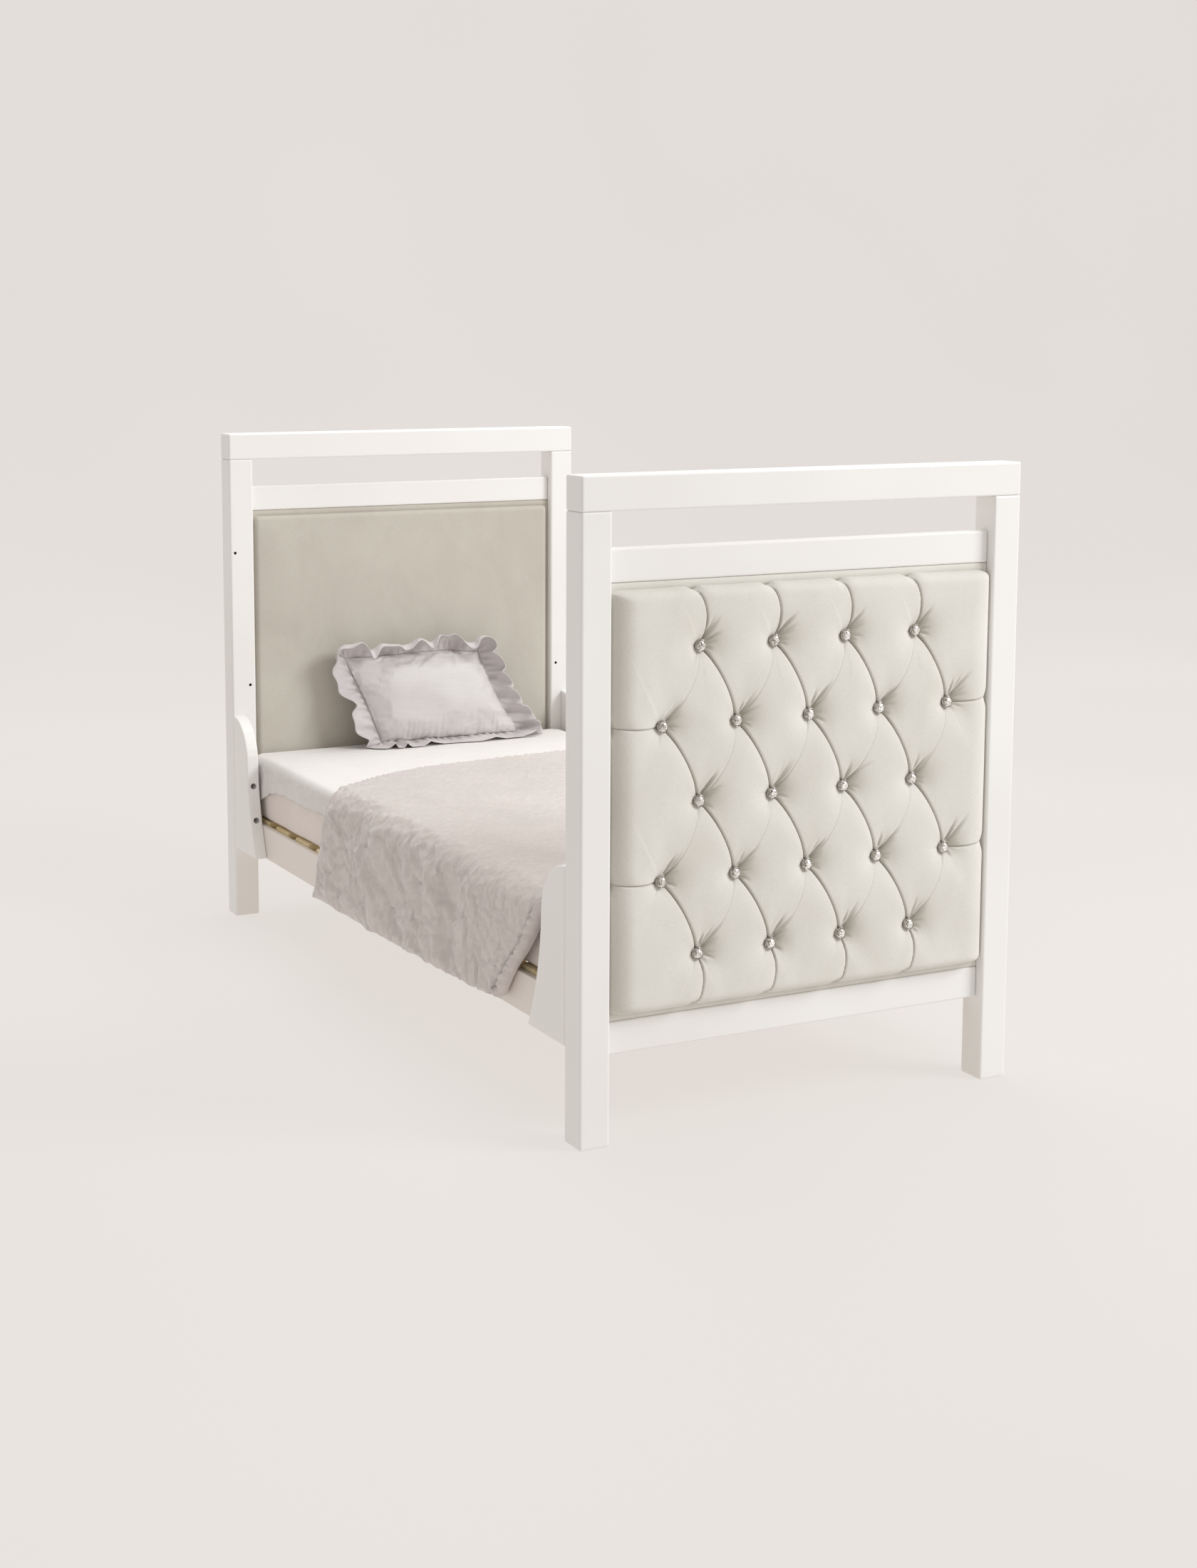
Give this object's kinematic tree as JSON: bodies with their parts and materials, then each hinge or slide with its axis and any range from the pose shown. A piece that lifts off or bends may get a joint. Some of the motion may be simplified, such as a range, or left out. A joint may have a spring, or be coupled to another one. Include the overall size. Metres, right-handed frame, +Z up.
{
  "type": "toddler bed",
  "caption": "Toddler bed with equal panelled ends in button-tufted velvet, low side rails on curved brackets, slatted base, mattress, fitted sheet, duvet and frilled pillow.",
  "frame": {"origin": "on the floor under the middle of the bed", "axes": "+X across the bed to its right as seen from the foot, +Y along the bed to the head, +Z up"},
  "size_m": [0.788, 1.576, 0.995],
  "materials": {
    "white_paint": "satin",
    "bare_pine": "matte",
    "board": "matte",
    "tufted_velvet": "matte",
    "flat_velvet": "matte",
    "crystal_buttons": "polished",
    "steel": "satin",
    "ticking": "matte",
    "white_cotton": "matte",
    "satin_duvet": "satin",
    "satin_pillow": "satin"
  },
  "bodies": {
    "bed_frame": {"foot_post_left": "white_paint", "foot_post_right": "white_paint", "foot_cap_rail": "white_paint", "foot_middle_rail": "white_paint", "foot_bottom_rail": "white_paint", "foot_board": "board", "foot_tufted_pad": "tufted_velvet", "foot_flat_pad": "flat_velvet", "foot_buttons": "crystal_buttons", "foot_dowels": "bare_pine", "head_post_left": "white_paint", "head_post_right": "white_paint", "head_cap_rail": "white_paint", "head_middle_rail": "white_paint", "head_bottom_rail": "white_paint", "head_board": "board", "head_tufted_pad": "tufted_velvet", "head_flat_pad": "flat_velvet", "head_buttons": "crystal_buttons", "head_dowels": "bare_pine", "side_rail_left": "white_paint", "side_rail_right": "white_paint", "bracket_foot_left": "white_paint", "bracket_foot_right": "white_paint", "bracket_head_left": "white_paint", "bracket_head_right": "white_paint", "bearer_left": "bare_pine", "bearer_right": "bare_pine", "bracket_bolts": "steel", "threaded_inserts": "steel", "rail_screws": "steel", "slat_screws": "steel", "slat_1": "bare_pine", "slat_2": "bare_pine", "slat_3": "bare_pine", "slat_4": "bare_pine", "slat_5": "bare_pine", "slat_6": "bare_pine", "slat_7": "bare_pine", "slat_8": "bare_pine", "slat_9": "bare_pine", "slat_10": "bare_pine", "slat_11": "bare_pine", "slat_12": "bare_pine", "slat_13": "bare_pine"},
    "mattress": {"mattress": "ticking", "fitted_sheet": "white_cotton"},
    "duvet": {"duvet": "satin_duvet"},
    "pillow": {"pillow": "satin_pillow", "pillow_frill": "satin_pillow"}
  },
  "joints": [
    {"name": "mattress_lift", "type": "slide", "parent": "bed_frame", "child": "mattress", "axis": [0, 0, 1], "range_m": [0, 0.8]},
    {"name": "duvet_lift", "type": "slide", "parent": "mattress", "child": "duvet", "axis": [0, 0, 1], "range_m": [0, 0.4]},
    {"name": "pillow_lift", "type": "slide", "parent": "mattress", "child": "pillow", "axis": [0, -0.5, 0.866], "range_m": [0, 0.5]}
  ]
}
